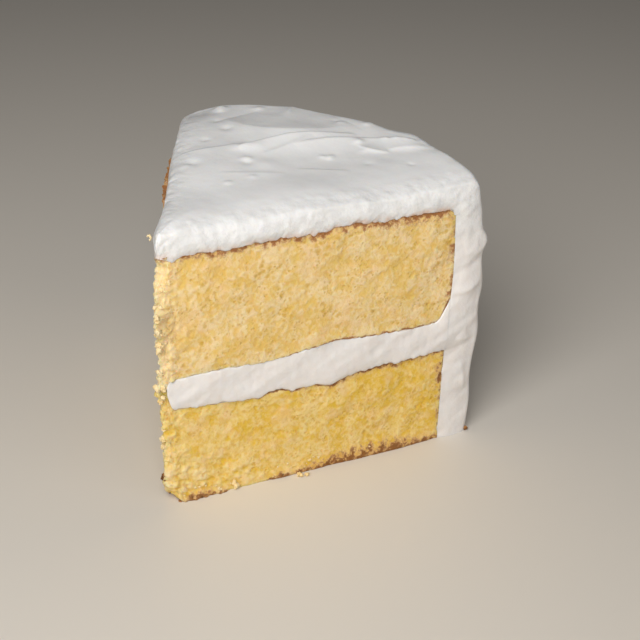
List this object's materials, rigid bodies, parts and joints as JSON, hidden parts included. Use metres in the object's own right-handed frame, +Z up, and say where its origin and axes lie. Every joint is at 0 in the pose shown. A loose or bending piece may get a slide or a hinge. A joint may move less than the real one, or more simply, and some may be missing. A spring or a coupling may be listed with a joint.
{
  "type": "dominican cake slice",
  "caption": "Tall wedge of golden sponge cake with a meringue filling, iced over its top and round side in soft white meringue.",
  "frame": {"origin": "centre of the bounding box, on the surface that the slice stands on", "axes": "+Z up; the slice's tip points to -Y and its iced round side faces +Y; the cut faces look towards +X and -X"},
  "size_m": [0.1234, 0.1172, 0.1016],
  "materials": {
    "sponge": "golden open crumb with thin brown crusts, matt",
    "filling": "soft meringue, satin",
    "meringue": "whipped meringue, smooth and satin outside, finely foamed where cut"
  },
  "bodies": {
    "root": {"lower_sponge": "sponge", "upper_sponge": "sponge", "filling": "filling", "icing": "meringue"}
  },
  "joints": []
}
